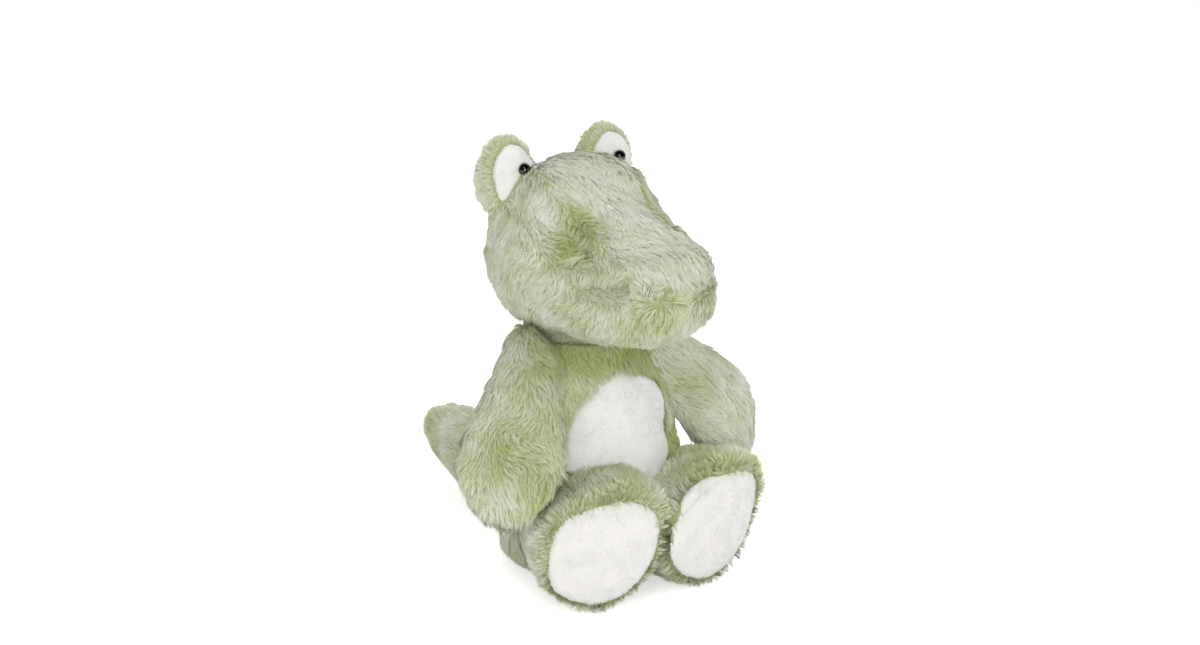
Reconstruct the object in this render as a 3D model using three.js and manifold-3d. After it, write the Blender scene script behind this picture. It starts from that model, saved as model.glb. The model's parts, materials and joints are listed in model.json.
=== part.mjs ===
// A seated plush crocodile, built as it is sewn: fur covers cut into panels, short-pile
// white panels for the belly, soles and eyes, fibre stuffing inside each cover, a bean bag
// in the seat and safety eyes on washers. Millimetres, +Z up, the toy faces -Y, and the
// origin is on the floor below the middle of the seat.
import * as THREE from "three";
import { mergeVertices } from "three/addons/utils/BufferGeometryUtils.js";
import Module from "manifold-3d";

const wasm = await Module();
wasm.setup();

// Fabric: a fur cover is the backing and its lying pile, the white panels have a short pile
const coverThickness = 5;
const furProud = 2.5; // how far the fur stands above the white panels
const fitGap = 0.4; // between pieces that touch
const seamGap = 0.4; // between two panels of one cover

// Each form swells and tapers along its own length, through evenly spaced half sizes
const body = {
  length: 207,
  halfWidth: [63, 66, 63, 57, 52],
  halfDepth: [61, 63, 59, 51, 48],
  startBlunt: 3.6,
  endBlunt: 2.4,
  fullness: 2.1,
  rings: 15,
  sides: 22,
};
const seatSink = 20; // how much of the body form lies below the floor and is cut away
const neckRadius = 38; // the ball of stuffing that fills the neck opening
const collarRise = 12; // from the middle of that ball up to the shoulders' flat

const head = {
  length: 200,
  halfWidth: [60, 66, 64, 56, 51, 50],
  halfDepth: [58, 64, 62, 51, 42, 40],
  rise: [0, 0, 0, -4, -9, -12],
  startBlunt: 2.6,
  endBlunt: 4,
  fullness: 2.2,
  rings: 15,
  sides: 22,
};
const headBack = 79; // how far the head reaches behind the neck's axis
const neckShow = 13.2; // from the middle of the neck's ball up to the underside of the head
const topPanelHalfWidth = 30; // the panel over crown and snout
const topPanelNoseHalfWidth = 24;
const mouthHeight = 12; // from the head's axis, at the back
const mouthNoseHeight = 2; // and at the nose

const mound = {
  length: 62,
  halfWidth: [22, 24, 24, 23, 22],
  halfDepth: [16, 17, 17, 16, 15],
  startBlunt: 2.2,
  endBlunt: 2.4,
  fullness: 2,
  rings: 8,
  sides: 14,
};
const moundProud = 25.2; // how far an eye mound stands above the crown
const moundSpread = 40; // from the middle to a mound's axis
const moundBack = 36; // behind the neck's axis
const eyePatchHalfWidth = 17;
const eyePatchHalfHeight = 22;
const eyePatchRise = 4; // above the middle of the mound
const eyePatchThickness = 2;
const eyeRadius = 4.5;
const eyeDome = 3.6;
const eyeSteps = 5; // of the dome's curve
const eyeInset = { left: -2, right: 5 }; // from the middle of a patch towards the nose
const eyeRise = 4; // above the middle of the patch
const eyeShankRadius = 2;
const washerRadius = 6;
const washerThickness = 1.6;
const shankBeyond = 1; // past the washer

const arm = {
  length: 145,
  halfWidth: [20, 20, 19, 19, 18],
  halfDepth: [28, 26, 33, 43, 43],
  lean: [0, 2, 4, 3, 0],
  startBlunt: 3,
  endBlunt: 2.6,
  fullness: 2,
  rings: 12,
  sides: 14,
};
const shoulderDrop = 13; // from the top of the body down to where an arm starts
const shoulderOut = 8; // how far outside the body the arm form starts
const armSplay = { left: 38, right: 36 }; // degrees away from the body
const armReach = { left: 15, right: 34 }; // degrees forwards
const armFacing = 35; // degrees that the flat of the arm faces outwards, from straight ahead

const leg = {
  length: 93,
  halfWidth: [36, 41, 46, 48, 46],
  halfDepth: [38, 43, 47, 48, 46],
  startBlunt: 2.4,
  endBlunt: 20,
  fullness: 2,
  rings: 14,
  sides: 18,
};
const legRoot = 6; // the leg form starts this far in front of the neck's axis
const legSpread = { left: 33, right: 26 }; // from the middle to where a leg's axis starts
const legApart = 0.6; // between the two feet, which press each other flat
const legSplay = { left: 6.5, right: 11.6 }; // degrees outwards
const legPitch = 3; // degrees that the toes point up
const soleSideBorder = 6; // fur left beside a sole
const soleTopBorder = 9; // and on average above and below it
const soleDrop = 7; // the sole sits this much below the middle of the toe
const soleCrown = 3;
const soleEdge = 3;
const soleSteps = 3;

const tail = {
  length: 178,
  halfWidth: [32, 33, 32, 30, 28],
  halfDepth: [33, 33, 32, 30, 28],
  rise: [0, 0, 2, 8, 16],
  startBlunt: 2.2,
  endBlunt: 2.6,
  fullness: 2,
  rings: 10,
  sides: 14,
};
const tailRoot = 32; // the tail form starts this far behind the neck's axis
const tailSwing = 15; // degrees that the tail wags to each side
const swingSteps = 2;

const bellyHalfWidth = 42;
const bellyTopDrop = 38; // from the top of the body down to the belly panel
const bellyBottom = 22;

const beanBagRadius = 36;
const beanBagHeight = 26;

const neckSeamRadius = 1.6; // the gathered thread round the neck opening
const threadSides = 6;
const neckGap = 0.9; // the head turns and nods on the neck's ball
const neckClear = 2; // from head and neck to an arm, which is raised past them
const headTurns = [-30, -15, 0, 15, 30]; // degrees
const headNods = [0, 10];
const ballSides = 24;
const stuffingRings = 7;
const stuffingSides = 12;
const faceSides = 24; // of round panels
const restFlat = 0.5; // how deep the floor cuts what rests on it
const farAway = 400; // larger than the toy, for cutting
const weldDistance = 1e-4; // corners closer than this are one

const furGreen = { color: 0xb9c19a, roughness: 0.95, metalness: 0 };
const whitePile = { color: 0xeae8e4, roughness: 0.95, metalness: 0 };
const fibre = { color: 0xf4f3ef, roughness: 1, metalness: 0 };
const beads = { color: 0xd9d6cd, roughness: 0.9, metalness: 0 };
const thread = { color: 0x9aa578, roughness: 0.8, metalness: 0 };
const glossBlack = { color: 0x0c0c0d, roughness: 0.12, metalness: 0 };
const clearPlastic = { color: 0xdcdcdc, roughness: 0.5, metalness: 0 };

// Curves and forms

// The value of a pair for a side, +1 the toy's left and -1 its right
function ofSide(pair, side) {
  return side > 0 ? pair.left : pair.right;
}

// The value at share s of a smooth line through evenly spaced values
function swell(values, s) {
  if (!values) return 0;
  const points = values.map((v, i) => new THREE.Vector2(i, v));
  return new THREE.SplineCurve(points).getPoint(s).y;
}

// How far a form's rounded ends draw it in at share s of its length
function rounding(form, s) {
  const blunt = s < 0.5 ? form.startBlunt : form.endBlunt;
  return Math.sqrt(Math.max(0, 1 - Math.pow(Math.abs(2 * s - 1), blunt)));
}

// A form's own section at share s, grown all round
function section(form, s, grow = 0) {
  const draw = rounding(form, s);
  return {
    z: -grow + s * (form.length + 2 * grow),
    x: swell(form.lean, s),
    y: swell(form.rise, s),
    halfWidth: (swell(form.halfWidth, s) + grow) * draw,
    halfDepth: (swell(form.halfDepth, s) + grow) * draw,
  };
}

// A closed skin over rings of points, from a first pole to a last one
function skin(rings, first, last) {
  const sides = rings[0].length;
  const points = [first, ...rings.flat(), last];
  const at = (ring, side) => 1 + ring * sides + (side % sides);
  const faces = [];
  for (let side = 0; side < sides; side++) {
    faces.push(0, at(0, side + 1), at(0, side));
    for (let ring = 0; ring + 1 < rings.length; ring++) {
      const [a, b] = [at(ring, side), at(ring, side + 1)];
      const [c, d] = [at(ring + 1, side), at(ring + 1, side + 1)];
      faces.push(a, b, d, a, d, c);
    }
    const end = rings.length - 1;
    faces.push(points.length - 1, at(end, side), at(end, side + 1));
  }
  const geometry = new THREE.BufferGeometry().setFromPoints(points);
  geometry.setIndex(faces);
  return geometry;
}

// A share of a half size at a turn round a section, squarer with more fullness
function bulge(value, fullness) {
  return Math.sign(value) * Math.pow(Math.abs(value), 2 / fullness);
}

// A stuffed form along its own +Z, as wide as halfWidth along X and halfDepth along Y
function stuffed(form, grow = 0, rings = form.rings, sides = form.sides) {
  const around = [];
  for (let ring = 1; ring < rings; ring++) {
    const s = (1 - Math.cos((Math.PI * ring) / rings)) / 2;
    const cut = section(form, s, grow);
    const points = [];
    for (let side = 0; side < sides; side++) {
      const turn = (2 * Math.PI * side) / sides;
      const x = cut.x + cut.halfWidth * bulge(Math.cos(turn), form.fullness);
      const y = cut.y + cut.halfDepth * bulge(Math.sin(turn), form.fullness);
      points.push(new THREE.Vector3(x, y, cut.z));
    }
    around.push(points);
  }
  const pole = (s) => {
    const cut = section(form, s, grow);
    return new THREE.Vector3(cut.x, cut.y, cut.z);
  };
  return skin(around, pole(0), pole(1));
}

// Solids

function solid(geometry, matrix) {
  const bare = new THREE.BufferGeometry();
  const flat = geometry.index ? geometry.toNonIndexed() : geometry;
  bare.setAttribute("position", flat.getAttribute("position").clone());
  if (matrix) bare.applyMatrix4(matrix);
  const merged = mergeVertices(bare, weldDistance);
  const mesh = new wasm.Mesh({
    numProp: 3,
    vertProperties: merged.attributes.position.array,
    triVerts: new Uint32Array(merged.index.array),
  });
  return new wasm.Manifold(mesh);
}

function cut(piece, ...tools) {
  return tools.reduce((left, tool) => left.subtract(tool), piece);
}

function box(low, high) {
  const size = new THREE.Vector3().subVectors(high, low);
  const middle = new THREE.Vector3().addVectors(low, high).multiplyScalar(0.5);
  const geometry = new THREE.BoxGeometry(size.x, size.y, size.z);
  return solid(geometry.translate(middle.x, middle.y, middle.z));
}

// Everything on one side of a plane square to an axis
function beyond(axis, value) {
  const low = new THREE.Vector3(-farAway, -farAway, -farAway);
  const high = new THREE.Vector3(farAway, farAway, farAway);
  low[axis] = value;
  return box(low, high);
}

function before(axis, value) {
  const low = new THREE.Vector3(-farAway, -farAway, -farAway);
  const high = new THREE.Vector3(farAway, farAway, farAway);
  high[axis] = value;
  return box(low, high);
}

function ball(radius, centre) {
  const geometry = new THREE.SphereGeometry(radius, ballSides, ballSides / 2);
  geometry.rotateX(Math.PI / 2);
  return solid(geometry.translate(centre.x, centre.y, centre.z));
}

// A matrix that carries a form's X, Y and Z to these directions, at a place
function placing(x, y, z, at) {
  return new THREE.Matrix4().makeBasis(x, y, z).setPosition(at);
}

// A placing turned about an axis, through its own place if no other is given
function turned(matrix, axis, degrees, through) {
  const turn = new THREE.Matrix4().makeRotationAxis(axis, THREE.MathUtils.degToRad(degrees));
  const at = through ?? new THREE.Vector3().setFromMatrixPosition(matrix);
  const away = new THREE.Matrix4().makeTranslation(-at.x, -at.y, -at.z);
  const back = new THREE.Matrix4().makeTranslation(at.x, at.y, at.z);
  return back.multiply(turn).multiply(away).multiply(matrix);
}

const right = new THREE.Vector3(1, 0, 0);
const rear = new THREE.Vector3(0, 1, 0);
const up = new THREE.Vector3(0, 0, 1);
const left = right.clone().negate();
const front = rear.clone().negate();

// How far up a form goes so that the floor only just cuts it, once it is turned
function restingLift(geometry, matrix) {
  const turnedForm = geometry.clone().applyMatrix4(matrix);
  turnedForm.computeBoundingBox();
  return -turnedForm.boundingBox.min.z - restFlat;
}

const toy = new THREE.Group();

function add(name, made, look) {
  const mesh = made.getMesh();
  const geometry = new THREE.BufferGeometry();
  geometry.setAttribute("position", new THREE.BufferAttribute(mesh.vertProperties, 3));
  geometry.setIndex(new THREE.BufferAttribute(mesh.triVerts, 1));
  geometry.computeVertexNormals();
  const piece = new THREE.Mesh(geometry, new THREE.MeshStandardMaterial(look));
  piece.name = name;
  toy.add(piece);
}

// Body: front and back panels, the belly let into the front, the seat, stuffing, bean bag

const bodyTop = body.length - seatSink;
const bellyTop = bodyTop - bellyTopDrop;
const neckPivot = new THREE.Vector3(0, 0, bodyTop - neckRadius);
const bodyPlace = placing(right, rear, up, new THREE.Vector3(0, 0, -seatSink));
const floor = before("z", 0);

// The body's half width at a height above the floor
function bodyHalfWidth(height) {
  return section(body, (height + seatSink) / body.length).halfWidth;
}

function bodyForm(grow, rings, sides) {
  const form = solid(stuffed(body, grow, rings, sides), bodyPlace);
  const shoulders = before("z", neckPivot.z + collarRise + grow);
  const room = shoulders.add(ball(neckRadius + grow, neckPivot));
  return form.intersect(room);
}

const bodySolid = cut(bodyForm(0), floor);
const bodyRoom = bodyForm(-coverThickness, stuffingRings, stuffingSides);
const bodyCavity = cut(bodyRoom, before("z", coverThickness));
const bodyShell = cut(bodySolid, bodyCavity);

// An oval window through the belly, along Y
function bellyWindow(grow) {
  const geometry = new THREE.CylinderGeometry(1, 1, farAway, faceSides);
  geometry.scale(bellyHalfWidth + grow, 1, (bellyTop - bellyBottom) / 2 + grow);
  return solid(geometry.translate(0, -farAway / 2, (bellyTop + bellyBottom) / 2));
}

const aboveSeat = cut(bodyShell, before("z", coverThickness));
add("seat_panel", bodyShell.intersect(before("z", coverThickness - seamGap)), furGreen);
add("body_back_panel", aboveSeat.intersect(beyond("y", seamGap / 2)), furGreen);
const bodyFront = aboveSeat.intersect(before("y", -seamGap / 2));
add("body_front_panel", cut(bodyFront, bellyWindow(seamGap)), furGreen);
const belly = cut(bodyForm(-furProud), bodyCavity, before("z", coverThickness + seamGap));
add("belly_panel", belly.intersect(bellyWindow(0)).intersect(before("y", -seamGap)), whitePile);

// The bean bag is a round cushion that lies on the seat panel
function beanBag(grow) {
  const geometry = new THREE.SphereGeometry(1, stuffingSides, stuffingSides / 2);
  geometry.rotateX(Math.PI / 2);
  const half = beanBagHeight / 2;
  geometry.scale(beanBagRadius + grow, beanBagRadius + grow, half + grow);
  return solid(geometry.translate(0, 0, coverThickness + fitGap + half));
}

const bodyFill = bodyForm(-coverThickness - fitGap, stuffingRings, stuffingSides);
const bodyStuffing = cut(bodyFill, before("z", coverThickness + fitGap), beanBag(fitGap));
add("body_stuffing", bodyStuffing, fibre);
add("seat_bean_bag", beanBag(0), beads);

// Head: a top panel from nose to nape, two cheeks, a chin with the neck opening, stuffing

// The head's half depth at a distance behind the neck's axis
function headHalfDepth(behind) {
  return section(head, (headBack - behind) / head.length).halfDepth;
}

const headLift = neckPivot.z + neckShow + headHalfDepth(0);
const headPlace = placing(right, up, front, new THREE.Vector3(0, headBack, headLift));

function headForm(grow, rings, sides) {
  return solid(stuffed(head, grow, rings, sides), headPlace);
}

const neckSocket = ball(neckRadius + neckGap, neckPivot);
const headNose = headBack - head.length;

// The thread ring lies on the neck's ball, just inside the underside of the head
const seamHeight = neckPivot.z + neckShow + coverThickness;
const seamReach = neckRadius + neckGap + neckSeamRadius;
const seamRing = Math.sqrt(seamReach ** 2 - (seamHeight - neckPivot.z) ** 2);

function neckSeam(grow) {
  const geometry = new THREE.TorusGeometry(seamRing, neckSeamRadius + grow, threadSides, ballSides);
  return solid(geometry.translate(neckPivot.x, neckPivot.y, seamHeight));
}

// Everything below the mouth line, which runs from the nape to the nose
function belowMouth(drop) {
  const outline = new THREE.Shape();
  outline.moveTo(farAway, -farAway);
  outline.lineTo(farAway, headLift + mouthHeight - drop);
  outline.lineTo(headBack, headLift + mouthHeight - drop);
  outline.lineTo(headNose, headLift + mouthNoseHeight - drop);
  outline.lineTo(-farAway, headLift + mouthNoseHeight - drop);
  outline.lineTo(-farAway, -farAway);
  const geometry = new THREE.ExtrudeGeometry(outline, { depth: 2 * farAway, bevelEnabled: false });
  const side = placing(rear, up, right, new THREE.Vector3(-farAway, 0, 0));
  return solid(geometry, side);
}

// A strip over the crown, tapering towards the nose
function overCrown(grow) {
  const outline = new THREE.Shape();
  outline.moveTo(topPanelHalfWidth + grow, farAway);
  outline.lineTo(-topPanelHalfWidth - grow, farAway);
  outline.lineTo(-topPanelHalfWidth - grow, 0);
  outline.lineTo(-topPanelNoseHalfWidth - grow, headNose);
  outline.lineTo(-topPanelNoseHalfWidth - grow, -farAway);
  outline.lineTo(topPanelNoseHalfWidth + grow, -farAway);
  outline.lineTo(topPanelNoseHalfWidth + grow, headNose);
  outline.lineTo(topPanelHalfWidth + grow, 0);
  return solid(new THREE.ExtrudeGeometry(outline, { depth: farAway, bevelEnabled: false }));
}

const headSolid = cut(headForm(0), neckSocket, neckSeam(fitGap));
const headRoom = headForm(-coverThickness, stuffingRings, stuffingSides);
const headShell = cut(headSolid, headRoom);
const aboveMouth = cut(headShell, belowMouth(0));
const cheeks = cut(aboveMouth, overCrown(seamGap));
add("chin_panel", headShell.intersect(belowMouth(seamGap)), furGreen);
add("head_top_panel", aboveMouth.intersect(overCrown(0)), furGreen);
add("cheek_panel_left", cheeks.intersect(beyond("x", 0)), furGreen);
add("cheek_panel_right", cheeks.intersect(before("x", 0)), furGreen);
const headFill = headForm(-coverThickness - fitGap, stuffingRings, stuffingSides);
add("head_stuffing", cut(headFill, neckSocket, neckSeam(fitGap)), fibre);
add("neck_seam", neckSeam(0), thread);

// Eye mounds: a lobe of fur on the head, with a white patch, an eye, its washer and stuffing

const headGrown = headForm(fitGap);
const moundTop = headLift + headHalfDepth(moundBack) + moundProud;

// An oval bar through a mound, along Y
function patchBar(centre, grow) {
  const geometry = new THREE.CylinderGeometry(1, 1, mound.length, faceSides);
  geometry.scale(eyePatchHalfWidth + grow, 1, eyePatchHalfHeight + grow);
  return solid(geometry.translate(centre.x, centre.y - mound.length / 2, centre.z + eyePatchRise));
}

// A profile of [radius, height] points turned about an axis that points to the front
function turnedPiece(profile, centre) {
  const points = profile.map(([radius, height]) => new THREE.Vector2(radius, height));
  const geometry = new THREE.LatheGeometry(points, stuffingSides);
  geometry.rotateX(Math.PI);
  return solid(geometry.translate(centre.x, centre.y, centre.z));
}

function addEye(side, word) {
  const foot = new THREE.Vector3(side * moundSpread, moundBack, moundTop - mound.length);
  const middle = foot.clone().setZ(moundTop - mound.length / 2);
  const place = placing(right, rear, up, foot);
  const form = (grow, rings, sides) => solid(stuffed(mound, grow, rings, sides), place);

  const cover = cut(form(0), form(-coverThickness, stuffingRings, stuffingSides), headGrown);
  const patch = cut(form(eyePatchThickness + fitGap), form(fitGap)).intersect(patchBar(middle, 0));
  const stuffing = cut(form(-coverThickness - fitGap, stuffingRings, stuffingSides), headGrown);

  // The eye stands on the patch; its shank runs through patch and cover into the washer
  const eyeHeight = eyePatchRise + eyeRise;
  const here = section(mound, 0.5 + eyeHeight / mound.length, eyePatchThickness + fitGap);
  const inset = ofSide(eyeInset, side);
  const bulging = here.halfDepth * Math.sqrt(1 - (inset / here.halfWidth) ** 2);
  const seat = middle.clone().add(new THREE.Vector3(-side * inset, -bulging, eyeHeight));
  const washerFront = -eyePatchThickness - coverThickness - 3 * fitGap;
  const washerBack = washerFront - washerThickness;
  const shankEnd = washerBack - shankBeyond;
  const dome = [];
  for (let step = 0; step <= eyeSteps; step++) {
    const turn = (Math.PI / 2) * (step / eyeSteps);
    dome.push([eyeRadius * Math.cos(turn), eyeDome * Math.sin(turn)]);
  }
  dome[dome.length - 1][0] = 0;
  const eye = (grow) => turnedPiece(
    [[0, shankEnd - grow], [eyeShankRadius + grow, shankEnd - grow],
      [eyeShankRadius + grow, -grow], [eyeRadius, -grow], ...dome], seat);
  const washer = (grow) => turnedPiece(
    [[eyeShankRadius + fitGap - grow, washerBack - grow], [washerRadius + grow, washerBack - grow],
      [washerRadius + grow, washerFront + grow],
      [eyeShankRadius + fitGap - grow, washerFront + grow],
      [eyeShankRadius + fitGap - grow, washerBack - grow]], seat);

  add(`eye_mound_${word}`, cut(cover, eye(fitGap), washer(fitGap)), furGreen);
  add(`eye_patch_${word}`, cut(patch, eye(fitGap), headGrown), whitePile);
  add(`eye_${word}`, eye(0), glossBlack);
  add(`eye_washer_${word}`, washer(0), clearPlastic);
  add(`eye_mound_stuffing_${word}`, cut(stuffing, eye(fitGap), washer(fitGap)), fibre);
}

// Legs: a tube of fur that the white sole closes, and stuffing

const bodyGrown = bodyForm(fitGap);

function legForm(side, grow, rings, sides) {
  const at = new THREE.Vector3(side * ofSide(legSpread, side), -legRoot, 0);
  const pitched = turned(placing(right, up, front, at), right, -legPitch);
  const place = turned(pitched, up, side * ofSide(legSplay, side));
  place.premultiply(new THREE.Matrix4().makeTranslation(0, 0, restingLift(stuffed(leg), place)));
  return { place, made: solid(stuffed(leg, grow, rings, sides), place) };
}

// A piece round a leg's own axis, from [share of the sole's half sizes, height] points
function aboutLeg(place, profile, grow) {
  const points = profile.map(([share, height]) => new THREE.Vector2(share, height));
  const geometry = new THREE.LatheGeometry(points, faceSides);
  geometry.rotateX(Math.PI / 2);
  const halfWidth = leg.halfWidth.at(-1) - soleSideBorder + grow;
  const halfHeight = leg.halfDepth.at(-1) - soleTopBorder + grow;
  geometry.scale(halfWidth, halfHeight, 1);
  return solid(geometry.translate(0, -soleDrop, 0), place);
}

// The sole is an oval, slightly crowned disc across the toe end
function soleDisc(place) {
  const rim = leg.length - furProud - soleCrown;
  const profile = [[0, rim - soleEdge], [1, rim - soleEdge]];
  for (let step = 0; step <= soleSteps; step++) {
    const share = 1 - step / soleSteps;
    profile.push([share, rim + soleCrown * (1 - share ** 2)]);
  }
  return aboutLeg(place, profile, 0);
}

// The opening that it closes runs out through the toe
function soleOpening(place) {
  const back = leg.length - furProud - soleCrown - soleEdge - fitGap;
  return aboutLeg(place, [[0, back], [1, back], [1, farAway], [0, farAway]], fitGap);
}

function addLeg(side, word) {
  const { place, made } = legForm(side, 0);
  const room = legForm(side, -coverThickness, stuffingRings, stuffingSides).made;
  const fill = legForm(side, -coverThickness - fitGap, stuffingRings, stuffingSides).made;
  const opening = soleOpening(place);
  const otherLeg = side > 0 ? before("x", legApart / 2) : beyond("x", -legApart / 2);
  add(`leg_cover_${word}`, cut(made, room, bodyGrown, floor, otherLeg, opening), furGreen);
  add(`sole_${word}`, soleDisc(place), whitePile);
  add(`leg_stuffing_${word}`, cut(fill, bodyGrown, otherLeg, opening), fibre);
}

// Arms: an outer and an inner panel, and stuffing

function armForm(side, grow, rings, sides) {
  const height = bodyTop - shoulderDrop;
  const reach = bodyHalfWidth(height) + shoulderOut;
  const at = new THREE.Vector3(side * reach, 0, height);
  const splay = THREE.MathUtils.degToRad(ofSide(armSplay, side));
  const fore = THREE.MathUtils.degToRad(ofSide(armReach, side));
  const facing = THREE.MathUtils.degToRad(armFacing);
  const along = new THREE.Vector3(side * Math.tan(splay), -Math.tan(fore), -1).normalize();
  const flat = new THREE.Vector3(side * Math.sin(facing), -Math.cos(facing), 0);
  flat.addScaledVector(along, -flat.dot(along)).normalize();
  const place = placing(flat, new THREE.Vector3().crossVectors(along, flat), along, at);
  return { place, made: solid(stuffed(arm, grow, rings, sides), place) };
}

// An arm keeps clear of the neck's thread, and of the head as it turns and nods
const neckRoom = [ball(neckRadius + neckGap + 2 * neckSeamRadius + neckClear, neckPivot)];
for (const turn of headTurns) {
  for (const nod of headNods) {
    const place = turned(turned(headPlace, up, turn, neckPivot), right, nod, neckPivot);
    neckRoom.push(solid(stuffed(head, neckClear), place));
  }
}

function addArm(side, word) {
  const { place, made } = armForm(side, 0);
  const room = armForm(side, -coverThickness, stuffingRings, stuffingSides).made;
  const fill = armForm(side, -coverThickness - fitGap, stuffingRings, stuffingSides).made;
  const larger = [bodyGrown, ...neckRoom, legForm(side, fitGap).made, floor];
  const half = new THREE.BoxGeometry(farAway, farAway, farAway).translate(farAway / 2, 0, 0);
  const outer = solid(half.clone().translate(seamGap / 2, 0, 0), place);
  const inner = solid(half.clone().translate(-seamGap / 2 - farAway, 0, 0), place);
  const shell = cut(made, room, ...larger);
  add(`arm_outer_panel_${word}`, shell.intersect(outer), furGreen);
  add(`arm_inner_panel_${word}`, shell.intersect(inner), furGreen);
  add(`arm_stuffing_${word}`, cut(fill, ...larger), fibre);
}

// Tail: left and right panels, and stuffing

const tailPlace = placing(left, up, rear, new THREE.Vector3(0, tailRoot, 0));
tailPlace.setPosition(0, tailRoot, restingLift(stuffed(tail), tailPlace));

function tailForm(grow, rings, sides) {
  return solid(stuffed(tail, grow, rings, sides), tailPlace);
}

// The body as the tail meets it while it wags about its upright seam on the back
const tailSeam = section(body, (seatSink + tail.halfDepth[0]) / body.length).halfDepth;
const tailPivot = new THREE.Vector3(0, tailSeam, 0);
const wagRoom = [];
for (let step = -swingSteps; step <= swingSteps; step++) {
  const swung = turned(bodyPlace, up, (tailSwing * step) / swingSteps, tailPivot);
  wagRoom.push(solid(stuffed(body, fitGap), swung));
}

const tailRoom = tailForm(-coverThickness, stuffingRings, stuffingSides);
const tailShell = cut(tailForm(0), tailRoom, floor, ...wagRoom);
add("tail_panel_left", tailShell.intersect(beyond("x", seamGap / 2)), furGreen);
add("tail_panel_right", tailShell.intersect(before("x", -seamGap / 2)), furGreen);
const tailFill = tailForm(-coverThickness - fitGap, stuffingRings, stuffingSides);
add("tail_stuffing", cut(tailFill, floor, ...wagRoom), fibre);

for (const [side, word] of [[1, "left"], [-1, "right"]]) {
  addEye(side, word);
  addLeg(side, word);
  addArm(side, word);
}

export default toy;
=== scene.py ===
import json
import math

import bpy
import numpy as np
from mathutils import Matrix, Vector
from mathutils.bvhtree import BVHTree
from mathutils.kdtree import KDTree


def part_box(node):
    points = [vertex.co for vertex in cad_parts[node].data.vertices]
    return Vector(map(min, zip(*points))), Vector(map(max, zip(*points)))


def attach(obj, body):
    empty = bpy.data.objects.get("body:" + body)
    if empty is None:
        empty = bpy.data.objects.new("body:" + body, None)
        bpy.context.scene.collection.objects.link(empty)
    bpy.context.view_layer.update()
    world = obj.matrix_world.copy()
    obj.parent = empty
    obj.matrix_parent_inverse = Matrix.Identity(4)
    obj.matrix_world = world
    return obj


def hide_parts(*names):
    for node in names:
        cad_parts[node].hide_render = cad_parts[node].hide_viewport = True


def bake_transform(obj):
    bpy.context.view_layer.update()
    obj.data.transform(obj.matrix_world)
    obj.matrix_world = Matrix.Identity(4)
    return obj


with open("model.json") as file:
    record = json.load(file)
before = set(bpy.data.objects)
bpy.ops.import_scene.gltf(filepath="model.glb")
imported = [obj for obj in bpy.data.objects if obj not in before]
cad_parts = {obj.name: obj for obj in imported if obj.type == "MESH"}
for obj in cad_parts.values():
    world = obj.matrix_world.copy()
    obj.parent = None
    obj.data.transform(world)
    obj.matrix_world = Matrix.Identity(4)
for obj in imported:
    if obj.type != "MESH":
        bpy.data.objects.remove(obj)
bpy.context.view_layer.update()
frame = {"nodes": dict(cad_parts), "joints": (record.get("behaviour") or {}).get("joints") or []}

scene = bpy.context.scene
mm = 0.001
sides = {"left": 1, "right": -1}  # the toy's own sides: it faces -Y, so its left is +X
print("frame loaded:", len(frame["nodes"]), "nodes")


# Small tools for colours, nodes and numbers

def hexColour(code):
    values = [int(code[i:i + 2], 16) / 255 for i in (1, 3, 5)]
    linear = [v / 12.92 if v <= 0.04045 else ((v + 0.055) / 1.055) ** 2.4 for v in values]
    return (*linear, 1.0)


def addPiece(name, data, material=None):
    piece = bpy.data.objects.new(name, data)
    scene.collection.objects.link(piece)
    if material:
        data.materials.append(material)
    return piece


def addNode(tree, kind, settings=None, links=None):
    # settings: input or attribute to value; links: input name or number to another node's output
    node = tree.nodes.new(kind)
    for name, value in (settings or {}).items():
        if name in node.inputs:
            node.inputs[name].default_value = value
        else:
            setattr(node, name, value)
    for name, output in (links or {}).items():
        tree.links.new(output, node.inputs[name])
    return node


def startMaterial(name):
    material = bpy.data.materials.new(name)
    material.use_nodes = True
    tree = material.node_tree
    tree.nodes.clear()
    return material, tree


def showShader(tree, shader):
    addNode(tree, "ShaderNodeOutputMaterial", links={"Surface": shader.outputs[0]})


def setRamp(node, stops):
    ramp = node.color_ramp
    while len(ramp.elements) > 1:
        ramp.elements.remove(ramp.elements[-1])
    for index, (place, code) in enumerate(stops):
        element = ramp.elements[0] if index == 0 else ramp.elements.new(place)
        element.position = place
        element.color = hexColour(code)


def noise(size, detail, distortion=0.0):
    # a pattern of soft random spots of this size
    def pattern(tree, place):
        spots = {"Scale": 1 / size, "Detail": detail, "Distortion": distortion}
        return addNode(tree, "ShaderNodeTexNoise", spots, {"Vector": place}).outputs["Fac"]
    return pattern


def patternMaterial(name, pattern, tones, surface, relief=None, roughness=None):
    # the pattern sets the colour and, where these are given, the relief or the range of roughness
    material, tree = startMaterial(name)
    height = pattern(tree, addNode(tree, "ShaderNodeTexCoord").outputs["Object"])
    tint = addNode(tree, "ShaderNodeValToRGB", links={"Fac": height})
    setRamp(tint, tones)
    links = {"Base Color": tint.outputs["Color"]}
    if relief:
        bump = addNode(tree, "ShaderNodeBump", relief, {"Height": height})
        links["Normal"] = bump.outputs["Normal"]
    if roughness:
        rough = addNode(tree, "ShaderNodeMapRange", roughness, {"Value": height})
        links["Roughness"] = rough.outputs[0]
    shader = addNode(tree, "ShaderNodeBsdfPrincipled", surface, links)
    showShader(tree, shader)
    return material


def step(values, low, high):
    # 0 below, 1 above, and smooth between
    share = np.clip((values - low) / (high - low), 0, 1)
    return share * share * (3 - 2 * share)


def unit(vectors):
    return vectors / np.maximum(np.linalg.norm(vectors, axis=-1, keepdims=True), 1e-12)


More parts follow.
